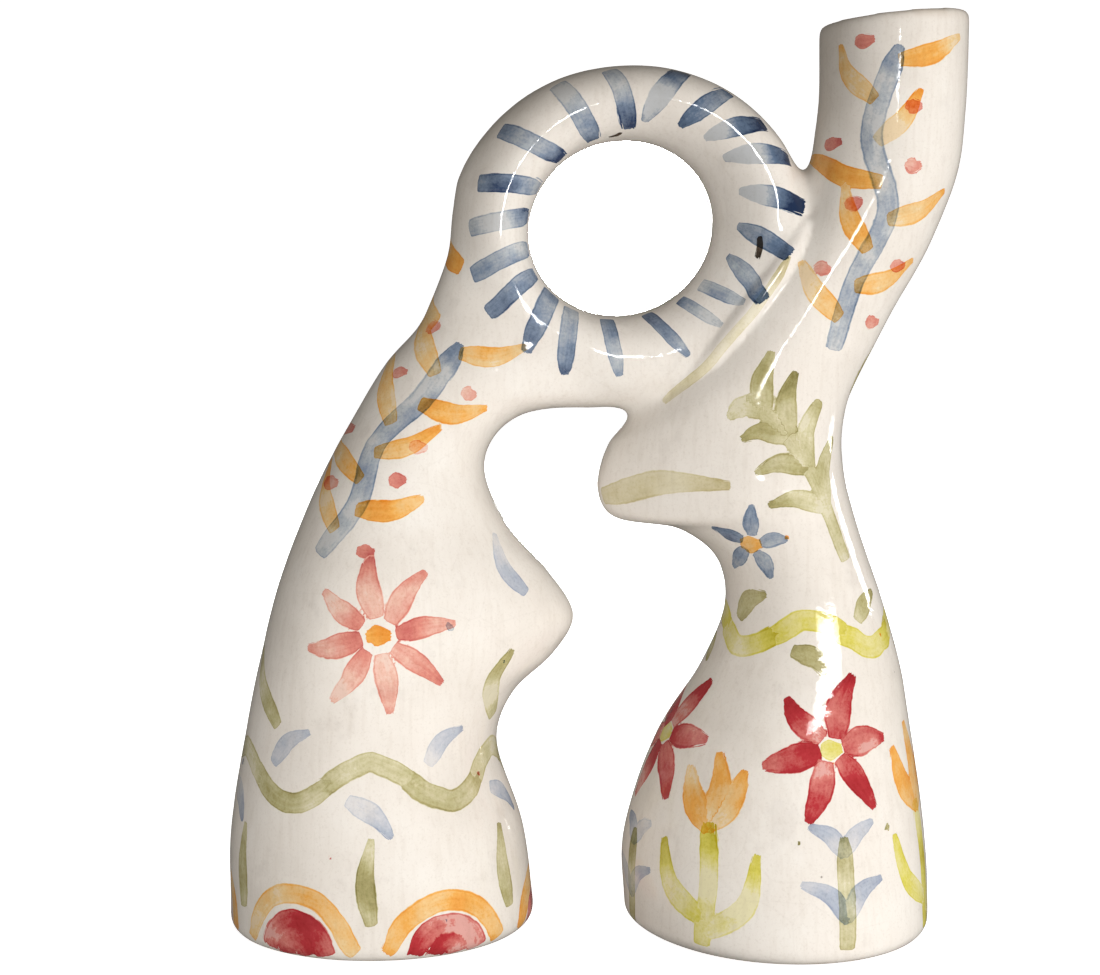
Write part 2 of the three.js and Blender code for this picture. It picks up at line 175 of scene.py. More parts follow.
def lap_rib(degrees, right, half_depth, keel, left_wall):
    """A rib of the breast whose left end laps over the ring."""
    lap = BREAST_LAP * lap_share(degrees)
    return Rib(ring_inside(degrees, RING_BITE + lap), right, half_depth, keel, left_wall + lap)


LEFT_RIBS = [
    foot_rib(LEFT_FOOT, SLAB, 0, 0, 0),
    foot_rib(LEFT_FOOT, up(14.4), 0.5, 4.4, 3),
    foot_rib(LEFT_FOOT, up(27.7), 6.7, 16.2, 8),
    Rib(over_left_foot(-55.9, 34.7), over_left_foot(58.1, 34.7), 54, -0.1),
    Rib(over_left_foot(-51.9, 40.3), over_left_foot(75.6, 40.3), 53, -0.25),
    Rib(over_left_foot(-48.1, 45.6), over_left_foot(84.3, 45.6), 52, -0.32),
    Rib(over_left_foot(-42.2, 52.2), over_left_foot(72.6, 52.2), 50, -0.25),
    Rib(over_left_foot(-34, 59.5), over_left_foot(54.1, 59.5), 44, -0.1),
    Rib(over_left_foot(-23.5, 67.5), over_left_foot(45.3, 67.5), 38),
    Rib(left_of_ring(-41.2, 74.5), left_of_ring(21.3, 72.1), 33),
    Rib(left_of_ring(-27.2, 82.1), left_of_ring(32.8, 74.8), 28),
    Rib(left_of_ring(-11.7, 88.2), left_of_ring(48.8, 75.6), 25),
    Rib(left_of_ring(-3.7, 95.5), ring_inside(262, 0), 22),
    Rib(ring_inside(172, 5), ring_inside(260, 6), 12),
]
LEFT_LEG_TOP = up(27.7)
BELLY_TOP = up(67.5)

RIGHT_RIBS = [
    foot_rib(RIGHT_FOOT, SLAB, 0, 0, 0),
    foot_rib(RIGHT_FOOT, up(12.8), -1, 1.4, 6),
    foot_rib(RIGHT_FOOT, up(28), 13.6, 7.3, 16),
    foot_rib(RIGHT_FOOT, up(38.3), 33.1, 12.6, 26),
    Rib(over_right_foot(-22.7, 47.9), over_right_foot(45.4, 47.9), 36),
    Rib(over_right_foot(-27, 54.2), over_right_foot(37.8, 55.1), 35, 0.05, 7.5),
    Rib(over_right_foot(-44, 58.4), over_right_foot(33.5, 59.7), 35.5, 0.15, 12),
    Rib(over_right_foot(-73.5, 60.2), over_right_foot(31, 62.7), 36, 0.3, 18),
    Rib(over_right_foot(-79.2, 64), over_right_foot(28.5, 66.3), 36, 0.35, 16),
    Rib(over_right_foot(-73.5, 71), over_right_foot(27, 71.8), 34.5, 0.2, 14),
    lap_rib(-82, right_of_ring(15.3, 76.8), 32.5, 0.02, 2.2 * SADDLE_WALL),
    lap_rib(-60, right_of_ring(20.3, 80.4), 30.7, -0.14, 2.2 * SADDLE_WALL),
    lap_rib(-32, right_of_ring(33.8, 89), 29.2, -0.2, SADDLE_WALL),
    lap_rib(-2, right_of_ring(51.3, 99.8), 29.2, -0.12, SADDLE_WALL),
    Rib(right_of_ring(-3, 109.6), right_of_ring(61.6, 109.3), 30.5),
    Rib(right_of_ring(1.3, 118.1), right_of_ring(64.4, 118.1), 32),
    Rib(
        (RING_RIGHT + MOUTH_OUT - MOUTH_HALF_WIDTH, RING_Z + MOUTH_RISE - MOUTH_TILT),
        (RING_RIGHT + MOUTH_OUT + MOUTH_HALF_WIDTH, RING_Z + MOUTH_RISE + MOUTH_TILT),
        MOUTH_HALF_DEPTH,
    ),
]
WAIST = up(47.9)
NECK_ROOT = up(109.5)


def limb_loops(ribs, stations, depths):
    """Loops of points round a limb; depth runs from 0 outside to 1 at the inside of the wall."""
    left = spline([rib.left for rib in ribs], stations)
    right = spline([rib.right for rib in ribs], stations)
    girths = [(rib.half_depth, rib.keel, rib.left_wall) for rib in ribs]
    half_depth, keel, left_wall = spline(girths, stations, centripetal=False).T
    across = unit(right - left)
    start = left + across * (depths * left_wall)[:, None]
    end = right - across * (depths * WALL)[:, None]
    angle = round_angles(SIDES)
    flat = (start + end)[:, None] / 2 + (end - start)[:, None] / 2 * np.cos(angle)[None, :, None]
    half_depth = half_depth - depths * (WALL + HOLLOW_DRAW * (left_wall - WALL))
    bulge = half_depth[:, None] * np.sin(angle) * (1 + keel[:, None] * np.cos(angle))
    return in_space(flat, bulge)


def foot_loops(ribs, inner, tuck):
    """Loops of the foot's rounded lower edge; its inner side draws in towards the floor."""
    angle = np.linspace(0, np.pi / 2, ARC_STEPS)
    heights = np.append(FOOT_EDGE * (1 - np.cos(angle)), [(FOOT_EDGE + SLAB) / 2])
    insets = np.append(FOOT_EDGE * (1 - np.sin(angle)), [0.0])
    loops = limb_loops(ribs, np.zeros(len(heights)), insets / WALL)
    share = (1 + inner * np.cos(round_angles(SIDES))) / 2
    loops[..., 0] -= inner * tuck * ((1 - heights / SLAB) ** 2)[:, None] * share
    loops[..., 2] = heights[:, None]
    return loops


def left_limb():
    stations = np.linspace(0, len(LEFT_RIBS) - 1, STEPS_PER_RIB * (len(LEFT_RIBS) - 1) + 1)
    wall = limb_loops(LEFT_RIBS, stations, np.zeros(len(stations)))
    return closed_skin(np.concatenate([foot_loops(LEFT_RIBS, 1, LEFT_FOOT.tuck), wall]), capped=True)


def right_limb():
    """The outer wall, the round lip and the inner wall down to the floor of the leg."""
    mouth = len(RIGHT_RIBS) - 1
    middles = limb_loops(RIGHT_RIBS, np.array([mouth - SHORT_STEP, mouth]), np.zeros(2)).mean(axis=1)
    lip = WALL / 2 * SHORT_STEP / np.linalg.norm(middles[1] - middles[0])
    outer = np.linspace(0, mouth - lip, STEPS_PER_RIB * mouth)
    angle = np.linspace(0, np.pi, ARC_STEPS)
    stations = np.concatenate([outer, mouth + lip * (np.sin(angle) - 1), outer[::-1]])
    depths = np.concatenate([np.zeros(len(outer)), 0.5 - 0.5 * np.cos(angle), np.ones(len(outer))])
    wall = limb_loops(RIGHT_RIBS, stations, depths)
    return closed_skin(np.concatenate([foot_loops(RIGHT_RIBS, -1, RIGHT_FOOT.tuck), wall]), capped=True)


def ring_loops(degrees, grow=0.0):
    outer = ring_inside(degrees, -grow)
    middle = (ring_outer(degrees) + ring_hole(degrees)) / 2
    angle = round_angles(TUBE_STEPS)
    flat = middle[:, None] + (outer - middle)[:, None] * np.cos(angle)[None, :, None]
    depth = (RING_HALF_DEPTH + grow) * ring_bulge(degrees[:, None], angle)
    return in_space(flat, depth)


def ring(grow=0.0):
    return closed_skin(ring_loops(np.linspace(0, 360, RING_STEPS, endpoint=False), grow), capped=False)


def groove(degrees):
    """Points of the groove beside the breast's lap, as x and z, and the depth of the ring's face there."""
    half_width = np.linalg.norm(ring_outer(degrees) - ring_hole(degrees), axis=-1) / 2
    inset = COIL_IN * lap_share(degrees)
    inward = (ring_hole(degrees) - ring_outer(degrees)) / (2 * half_width[:, None])
    face = RING_HALF_DEPTH * ring_bulge(degrees, np.arccos(1 - inset / half_width))
    return ring_outer(degrees) + inset[:, None] * inward, inward, face


def coil(side, grow=0.0):
    """A coil of clay pressed into the groove, in front for -1 and behind for 1."""
    share = np.linspace(0, 1, RING_STEPS // 2)
    centre, inward, face = groove(COIL_FROM + (COIL_TO - COIL_FROM) * share)
    swell = np.sqrt(np.maximum(np.sin(np.pi * share), 0))
    radius = COIL_END_RADIUS + (COIL_RADIUS - COIL_END_RADIUS) * swell + grow
    angle = round_angles(TUBE_STEPS)
    flat = centre[:, None] + inward[:, None] * (radius[:, None] * np.cos(angle))[..., None]
    depth = side * (face - COIL_SINK)[:, None] + radius[:, None] * np.sin(angle)
    return closed_skin(in_space(flat, depth), capped=True)


# Meshes

GLAZE = bpy.data.materials.new("glaze")
BARE_CLAY = bpy.data.materials.new("bare_clay")
GLAZED, BARE = 0, 1


def bands(count, size, closed):
    """Faces between loops of points, from each loop to the next."""
    column = np.arange(size)
    after = np.roll(column, -1)
    faces = []
    for band in range(count if closed else count - 1):
        low, high = band * size, (band + 1) % count * size
        faces.extend(np.stack([low + column, low + after, high + after, high + column], 1).tolist())
    return faces


def closed_skin(loops, capped):
    """Points and faces over loops that close on each other, or whose ends are capped."""
    count, size = loops.shape[:2]
    points = loops.reshape(-1, 3)
    faces = bands(count, size, closed=not capped)
    if capped:
        points = np.vstack([points, loops[0].mean(axis=0), loops[-1].mean(axis=0)])
        first, last = len(points) - 2, len(points) - 1
        column = np.arange(size)
        after = np.roll(column, -1)
        top = (count - 1) * size
        faces.extend(np.stack([after, column, np.full(size, first)], 1).tolist())
        faces.extend(np.stack([top + column, top + after, np.full(size, last)], 1).tolist())
    return facing_out(points, faces)


def facing_out(points, faces):
    """Turns the faces round if they enclose a negative volume."""
    corners = np.array([face[:3] for face in faces])
    a, b, c = points[corners[:, 0]], points[corners[:, 1]], points[corners[:, 2]]
    if np.einsum("ij,ij->i", a, np.cross(b, c)).sum() < 0:
        faces = [face[::-1] for face in faces]
    return points, faces


def placed(name, data):
    """A new object in the scene."""
    thing = bpy.data.objects.new(name, data)
    bpy.context.scene.collection.objects.link(thing)
    return thing


def mesh_object(name, points, faces, finish):
    """An object with both finishes in its slots, all of whose faces have one of them."""
    mesh = bpy.data.meshes.new(name)
    mesh.from_pydata((np.asarray(points) * MM).tolist(), [], faces)
    mesh.materials.append(GLAZE)
    mesh.materials.append(BARE_CLAY)
    mesh.polygons.foreach_set("material_index", [finish] * len(mesh.polygons))
    return placed(name, mesh)


def discard(piece):
    mesh = piece.data
    bpy.data.objects.remove(piece)
    bpy.data.meshes.remove(mesh)


def evaluated(piece):
    """The mesh of a piece with its modifiers done."""
    view = piece.evaluated_get(bpy.context.evaluated_depsgraph_get())
    return bpy.data.meshes.new_from_object(view)


def vectors_of(items, name):
    values = np.empty(len(items) * 3)
    items.foreach_get(name, values)
    return values.reshape(-1, 3)


def points_of(mesh):
    return vectors_of(mesh.vertices, "co") / MM


def normals_of(mesh):
    return vectors_of(mesh.vertex_normals, "vector")


def set_points(mesh, points):
    mesh.vertices.foreach_set("co", (points * MM).ravel())
    mesh.update()


def distances(points, *forms):
    """How far each point is from the nearest of some forms."""
    trees = [BVHTree.FromPolygons(corners.tolist(), faces) for corners, faces in forms]
    return np.array([min(tree.find_nearest(point)[3] for tree in trees) for point in points.tolist()])


# The glazed skin, with the clay at the joints worked smooth

SMOOTH_ROUNDS = 14
BLEND_ROUNDS = 110
BLEND_REACH = 15.0
GROOVE_NEAR, GROOVE_REACH = 1.5, 6.5
GROOVE_KEEP = 0.85
FLOOR_KEEP = 0.9
LIP_KEEP = 0.7
LIP_REACH = 9.0
HAND_WAVES = ((60.0, 0.55), (26.0, 0.22), (11.0, 0.06))
NORMAL = "skin_normal"


def relax(points, edges, strength, rounds):
    """Moves each point towards the mean of its neighbours."""
    count = len(points)
    ends = np.concatenate([edges, edges[:, ::-1]])
    degree = np.bincount(ends[:, 0], minlength=count)
    for _ in range(rounds):
        total = np.stack(
            [np.bincount(ends[:, 0], points[ends[:, 1], axis], minlength=count) for axis in range(3)], -1
        )
        points = points + (strength / 2)[:, None] * (total / degree[:, None] - points)
    return points


def ramp(values, low, high):
    """0 below low, 1 above high and smooth between."""
    share = np.clip((values - low) / (high - low), 0, 1)
    return share * share * (3 - 2 * share)


def hand_unevenness(points):
    """Millimetres that a hand-built wall stands proud or shy of its even shape."""
    heights = np.zeros(len(points))
    for length, height in HAND_WAVES:
        heights += height * np.array([noise.noise(point) for point in (points / length).tolist()])
    return heights


def make_skin():
    forms = {
        "left": left_limb(),
        "right": right_limb(),
        "ring": ring(),
        "front_coil": coil(-1),
        "back_coil": coil(1),
    }
    points, faces = [], []
    offset = 0
    for form_points, form_faces in forms.values():
        points.append(form_points)
        faces.extend([[corner + offset for corner in face] for face in form_faces])
        offset += len(form_points)
    lump = mesh_object("lump", np.vstack(points), faces, GLAZED)
    remesh = lump.modifiers.new("union", "REMESH")
    remesh.mode = "VOXEL"
    remesh.voxel_size = VOXEL * MM
    mesh = evaluated(lump)
    discard(lump)

    points = points_of(mesh)
    edges = np.empty(len(mesh.edges) * 2, int)
    mesh.edges.foreach_get("vertices", edges)
    edges = edges.reshape(-1, 2)
    mouth_height = RING_Z + MOUTH_RISE
    near_lip = ramp(points[:, 2], mouth_height - LIP_REACH - MOUTH_TILT, mouth_height - MOUTH_TILT)
    near_floor = 1 - ramp(points[:, 2], FOOT_EDGE, 2 * FOOT_EDGE)
    to_coils = distances(points, forms["front_coil"], forms["back_coil"])
    by_coil = 1 - ramp(to_coils, GROOVE_NEAR, GROOVE_REACH)
    loose = (1 - np.maximum(LIP_KEEP * near_lip, FLOOR_KEEP * near_floor)) * (1 - GROOVE_KEEP * by_coil)
    points = relax(points, edges, loose, SMOOTH_ROUNDS)

    to_ring = distances(points, forms["ring"])
    to_limbs = distances(points, forms["left"], forms["right"])
    joint = 1 - ramp(np.hypot(to_ring, to_limbs), BLEND_REACH / 3, BLEND_REACH)
    points = relax(points, edges, joint * (1 - by_coil), BLEND_ROUNDS)
    set_points(mesh, points)

    even = normals_of(mesh)
    lift = hand_unevenness(points) * ramp(points[:, 2], 0, SLAB)
    set_points(mesh, points + even * lift[:, None])
    mesh.attributes.new(NORMAL, "FLOAT_VECTOR", "POINT")
    mesh.attributes[NORMAL].data.foreach_set("vector", normals_of(mesh).ravel())
    return placed("skin", mesh)


# Cutting the skin into its clay sections

UNDERSIDE = 0.7
FACING_DOWN = -0.9
NO_NORMAL = 0.5
JOINT_GROW = 1.2
COIL_GROW = 0.6
FAR = 600.0
BETWEEN_LIMBS = (-7, 0, 137)
ACROSS_LIMBS = (93, 0, -11.5)


def half_space(point, normal):
    """A large block on the side of a plane that the normal points to."""
    normal = Vector(normal).normalized()
    turn = normal.to_track_quat("Z", "Y").to_matrix()
    square = ((-FAR, -FAR), (FAR, -FAR), (FAR, FAR), (-FAR, FAR))
    corners = [Vector((x, y, z)) for z in (0, FAR) for x, y in square]
    corners = np.array([tuple(Vector(point) + turn @ corner) for corner in corners])
    faces = [[3, 2, 1, 0], [4, 5, 6, 7]]
    faces += [[i, (i + 1) % 4, (i + 1) % 4 + 4, i + 4] for i in range(4)]
    return corners, faces


def split(piece, cutter_form):
    """Cuts a piece in two along the surface of a closed form: what lies inside it, and the rest."""
    cutter = mesh_object("cutter", *cutter_form, BARE)
    halves = []
    for operation in ("INTERSECT", "DIFFERENCE"):
        cut = piece.modifiers.new("cut", "BOOLEAN")
        cut.operation = operation
        cut.solver = "MANIFOLD"
        cut.material_mode = "INDEX"
        cut.object = cutter
        halves.append(placed("section", evaluated(piece)))
        piece.modifiers.remove(cut)
    discard(cutter)
    discard(piece)
    return halves


def split_at_height(piece, height):
    return split(piece, half_space((0, 0, height), (0, 0, 1)))


def cut_sections(skin):
    cut = {}
    whole_ring, rest = split(skin, ring(JOINT_GROW))
    cut["ring_back"], cut["ring_front"] = split(whole_ring, half_space((0, 0, 0), (0, 1, 0)))
    cut["front_luting_coil"], rest = split(rest, coil(-1, COIL_GROW))
    cut["back_luting_coil"], rest = split(rest, coil(1, COIL_GROW))
    right, left = split(rest, half_space(BETWEEN_LIMBS, ACROSS_LIMBS))
    left, cut["left_foot_slab"] = split_at_height(left, SLAB)
    left, cut["left_leg"] = split_at_height(left, LEFT_LEG_TOP)
    cut["left_shoulder"], cut["left_belly"] = split_at_height(left, BELLY_TOP)
    right, cut["right_foot_slab"] = split_at_height(right, SLAB)
    right, cut["right_leg"] = split_at_height(right, WAIST)
    cut["neck"], cut["breast"] = split_at_height(right, NECK_ROOT)
    return cut


class Surface:
    """The whole glazed surface: strokes are cast on it and cut edges read their normals from it."""

    def __init__(self, mesh):
        self.points = points_of(mesh)
        self.normals = normals_of(mesh)
        self.faces = [list(face.vertices) for face in mesh.polygons]
        self.tree = BVHTree.FromPolygons(self.points.tolist(), self.faces)

    def normal_near(self, point):
        place, _, face, _ = self.tree.find_nearest(point)
        corners = self.faces[face]
        weights = poly_3d_calc([Vector(self.points[corner]) for corner in corners], place)
        return np.array(weights) @ self.normals[corners]

    def nearest(self, point):
        """The point of the surface nearest to a point, and the normal there."""
        place = self.tree.find_nearest(point)[0]
        return np.array(place), self.normal_near(place)

    def seen(self, target, direction, away=FAR):
        """What a ray towards a target meets first from a distance away, or else what is nearest to it."""
        direction = Vector(direction)
        place = self.tree.ray_cast(Vector(target) - away * direction, direction)[0]
        return self.nearest(target if place is None else place)


def bare_underneath(mesh):
    """Leaves the flat underside of a foot without glaze."""
    for face in mesh.polygons:
        if face.center.z < UNDERSIDE * MM and face.normal.z < FACING_DOWN:
            face.material_index = BARE


def shade_as_one(section):
    """Gives a section the whole skin's normals, and its bare faces flat ones."""
    mesh = section.data
    bare_underneath(mesh)
    normals = vectors_of(mesh.attributes[NORMAL].data, "vector")
    points = points_of(mesh)
    for vertex in np.flatnonzero(np.linalg.norm(normals, axis=1) < NO_NORMAL):
        normals[vertex] = surface.normal_near(points[vertex])
    mesh.attributes.remove(mesh.attributes[NORMAL])
    mesh.shade_smooth()
    corners = np.empty(len(mesh.loops), int)
    mesh.loops.foreach_get("vertex_index", corners)
    corner_normals = normals[corners]
    for face in mesh.polygons:
        if face.material_index == BARE:
            corner_normals[face.loop_indices] = face.normal
    mesh.normals_split_custom_set(corner_normals.tolist())
    return points, normals


# Brush strokes

STROKE_STEP = 0.8
HEAD_LENGTH = 5.0
BLUNTNESS = 0.5
REACH = 1.8
CLEAR_OF_LIMB = 80.0
HAND_SHAKE = 0.35
UNEVEN = (0.92, 1.08)
ROUTE_STEPS = 14
DAB_LENGTH = 0.72
SAME_SIDE = 0.2
CORNER_POWER = 4
UNPAINTED, FAR_FROM_END, LANES = 9.0, 50.0, 10.0
rng = np.random.default_rng(11)
Stroke = namedtuple("Stroke", "points tangents normals half_widths number")
strokes = {}


def paint(colour, place, path, width, head, tail, swell=False):
    """One pull of the brush along a path of (u, v) points, which place puts on the surface."""
    path = np.asarray(path, float)
    path = path + rng.normal(0, HAND_SHAKE, path.shape)
    width = width * rng.uniform(*UNEVEN)
    route = spline(path, np.linspace(0, len(path) - 1, ROUTE_STEPS * len(path)))
    landed = [place(u, v) for u, v in route]
    points, normals = (np.array(values) for values in zip(*landed))
    along = np.append(0, np.cumsum(np.linalg.norm(np.diff(points, axis=0), axis=1)))
    length = along[-1]
    marks = np.linspace(0, length, max(int(length / STROKE_STEP), 3))
    points, normals = (
        np.stack([np.interp(marks, along, values[:, axis]) for axis in range(3)], -1)
        for values in (points, normals)
    )
    tangents = unit(np.gradient(points, axis=0))
    ease = length / 2 if swell else min(HEAD_LENGTH, length / 2)
    start = head + (1 - head) * np.sqrt(ramp(marks, -ease / 4, ease))
    end = tail + (1 - tail) * np.sqrt(ramp(length - marks, -ease / 4, 2 * ease))
    layer = strokes.setdefault(colour, [])
    layer.append(Stroke(points, tangents, normals, width / 2 * start * end, len(layer)))


def dab(colour, place, u, v, width):
    half = DAB_LENGTH * width / 2
    paint(colour, place, [(u - half, v), (u, v), (u + half, v)], width, 0.3, 0.3, swell=True)


def on_front(x, z):
    return surface.seen((x, 0, z), (0, 1, 0))


def on_back(x, z):
    return surface.seen((x, 0, z), (0, -1, 0))


def on_left(y, z):
    return surface.seen((LEFT_FOOT.x, y, z), (1, 0, 0))


def round_limb(axis_x):
    """Places by degrees round an upright axis, from +X towards +Y, and by height."""

    def place(degrees, z):
        angle = math.radians(degrees)
        outward = np.array([math.cos(angle), math.sin(angle), 0])
        return surface.seen((axis_x, 0, z), -outward, CLEAR_OF_LIMB)

    return place


def on_ring(degrees, turn):
    """Places by degrees round the ring and round its tube: 0 faces out, -90 the front, 90 the back."""
    outer = ring_outer(degrees)
    middle = (outer + ring_hole(degrees)) / 2
    flat = middle + (outer - middle) * math.cos(math.radians(turn))
    depth = RING_HALF_DEPTH * ring_bulge(degrees, math.radians(turn))
    return surface.nearest(in_space(flat, depth))


def spot(landed, turn=0.0):
    """Places by millimetres right and up from a point on the surface, turned."""
    point, normal = landed
    normal = unit(normal)
    upward = unit(np.array([0, 0, 1]) - normal * normal[2])
    right = np.cross(upward, normal)
    cosine, sine = math.cos(math.radians(turn)), math.sin(math.radians(turn))

    def place(u, v):
        return surface.nearest(point + right * (u * cosine - v * sine) + upward * (u * sine + v * cosine))

    return place


# Motifs: common leaves, flowers, scallops and wavy bands, as brushed on folk pottery

def polar(radius, degrees, centre=(0, 0)):
    angle = math.radians(degrees)
    return centre[0] + radius * math.cos(angle), centre[1] + radius * math.sin(angle)


def lobe(degrees):
    """1 at 0 degrees, falling to 0 at a quarter turn to either side."""
    return max(math.cos(math.radians(degrees)), 0.0)


def leaf(colour, place, root, degrees, length, width, bend=0.12):
    """A leaf pressed with one stroke, from its root out to its tip."""
    tip = polar(length, degrees, root)
    middle = polar(length / 2, degrees, root)
    side = polar(bend * length, degrees + 90, middle)
    paint(colour, place, [root, side, tip], width, 0.35, 0.12, swell=True)


def flower(place, petal, heart, petals=8, inner=9.0, length=25.0, width=12.0):
    turn = 8
    for number in range(petals):
        degrees = 360 * number / petals + turn
        leaf(petal, place, polar(inner, degrees), degrees, length * rng.uniform(*UNEVEN), width, bend=0.05)
    dab(heart, place, 0, 0, width=10.5)


def sprig(place, stem, leaves, height, lean, pairs, length, width):
    """A stem that bends to one side, with leaves in pairs."""
    path = [(0, 0), (lean * 0.7, height * 0.35), (lean, height * 0.7), (lean * 0.6, height)]
    paint(stem, place, path, width=7.5, head=0.9, tail=0.4)
    for share in np.linspace(0.25, 0.85, pairs):
        root = tuple(spline(path, [share * (len(path) - 1)])[0])
        for degrees, bend in ((38, 0.12), (142, -0.12)):
            leaf(leaves, place, root, degrees, length * (1.1 - 0.3 * share), width, bend)


def tulip(place, petal, stem):
    height = 52.0
    paint(stem, place, [(0, 0), (3, height * 0.5), (0, height)], width=9.0, head=0.9, tail=0.7)
    leaf(stem, place, (0.5, 4), 54, 46, 12, -0.16)
    leaf(stem, place, (0, 10), 128, 42, 12, 0.16)
    for degrees, length in ((56, 33), (124, 33), (90, 36)):
        leaf(petal, place, (0, height), degrees, length, 14.5, 0.1 if degrees > 90 else -0.1)


def scallops(foot_x, count, height, fill, edge, between):
    """A hem of filled half discs, each under an arc, with a leaf between two, all round a foot."""
    around = round_limb(foot_x)
    arches = (fill, 5.0, 11.0, 0.95, 0.9), (fill, 13.5, 10.0, 0.95, 0.8), (edge, 27.0, 9.0, 0.9, 0.6)
    step = 360 / count
    for number in range(count):
        place = spot(around(step * (number + 0.5) - 90, height))
        for colour, radius, *brush in arches:
            arch = [polar(radius, degrees) for degrees in np.linspace(2, 178, 7)]
            paint(colour, place, arch, *brush)
        leaf(between, spot(around(step * number - 90, height + 14)), (0, 0), 90, 34, 11, 0.05)


def vine(axis_x, height, swing, waves, stem, leaves, width=9.0, length=22.0):
    """A wavy band round a limb with a leaf in the hollow of each wave."""
    around = round_limb(axis_x)
    step = 180 / waves
    for number in range(2 * waves):
        degrees = step * number - 90
        side = 1 if number % 2 == 0 else -1
        path = [
            (degrees + step * (share - 0.5), height + side * swing * math.cos(math.pi * (share - 0.5)))
            for share in np.linspace(-0.04, 1.04, 7)
        ]
        paint(stem, around, path, width, 0.9, 0.8)
        hollow = spot(around(degrees, height - side * swing * 0.4))
        leaf(leaves, hollow, (-length * 0.4, -side * 4), -side * 38, length, width + 1.5)


def garland(place, path, stem, leaves, berries):
    """A long brushed stem with leaves on alternate sides and a berry beside each."""
    paint(stem, place, path, width=10.0, head=0.85, tail=0.35)
    side = 1
    for station in np.arange(0.35, len(path) - 1.1, 0.5):
        root, ahead = spline(path, [station, station + 0.05])
        heading = math.degrees(math.atan2(*(ahead - root)[::-1])) + side * 48
        leaf(leaves, place, polar(3, heading, tuple(root)), heading, length=27.0, width=11, bend=side * 0.1)
        dab(berries, place, *polar(15, heading - side * 123, tuple(root)), width=7.5)
        side = -side


DAB_ANGLES = (15, 33, 47, 61, 78, 93, 112, 135, 157, 175, 194, 210, 228, 244, 266, 292, 312, 326, 339, 357)


def ring_dabs(side):
    """Radial strokes round the ring's front or back: leafy ones by the neck, slim ones over the breast."""
    wobble = 4.0
    for degrees in DAB_ANGLES:
        slim = lobe(degrees + 80) > 0.56
        leafy = not slim and lobe(degrees - 30) > 0.5
        outer = 66 - 28 * lobe(degrees - 70) + 24 * lobe(degrees + 45) ** 2 + rng.uniform(-wobble, wobble)
        inner = 156 - 46 * lobe(degrees - 35) + rng.uniform(-wobble, wobble)
        skew = (4.5 if leafy else -2.5) + rng.uniform(-1.5, 1.5)
        outer -= 8 * leafy
        path = [(degrees - skew, outer), (degrees, (outer + inner) / 2), (degrees + skew, inner)]
        path = [(angle, side * turn) for angle, turn in path]
        if slim:
            paint("blue", on_ring, path[::-1], 8.6 - 2.8 * lobe(degrees + 50) ** 2, 0.9, 0.4)
        elif leafy:
            paint("navy", on_ring, path[::-1], 9.6, 0.05, 0.75, swell=True)
        else:
            paint("blue", on_ring, path, 8.6, 0.9, 0.66)
    paint("iron", on_ring, [(358, side * 98), (353, side * 96), (348, side * 97)], 3.0, 0.7, 0.8)
    paint("iron", on_ring, [(93, side * 146), (96, side * 152), (100, side * 154)], 2.6, 0.4, 0.4)


def groove_line(side):
    """Pale glaze that ran together along the groove between the ring and the breast."""
    degrees = np.linspace(COIL_FROM - 3, COIL_TO - 14, 9)
    flat = groove(degrees)[0]
    path = np.stack([flat[:, 0] + SHIFT, flat[:, 1]], -1)
    paint("straw", on_front if side < 0 else on_back, path, 4.6, 0.6, 0.15)


SPLASHES = 26
SPLASH_COLOURS = ("orange", "blue", "olive", "coral")
SPLASH_HEIGHTS, SPLASH_WIDTHS = (15, 190), (1.6, 3.4)


def splashes():
    """Small drops that fell from the brush."""
    for number in range(SPLASHES):
        colour = SPLASH_COLOURS[number % len(SPLASH_COLOURS)]
        around = round_limb(LEFT_FOOT.x if number % 2 else RIGHT_FOOT.x)
        landed = around(rng.uniform(0, 360), rng.uniform(*SPLASH_HEIGHTS))
        dab(colour, spot(landed, rng.uniform(0, 180)), 0, 0, rng.uniform(*SPLASH_WIDTHS))


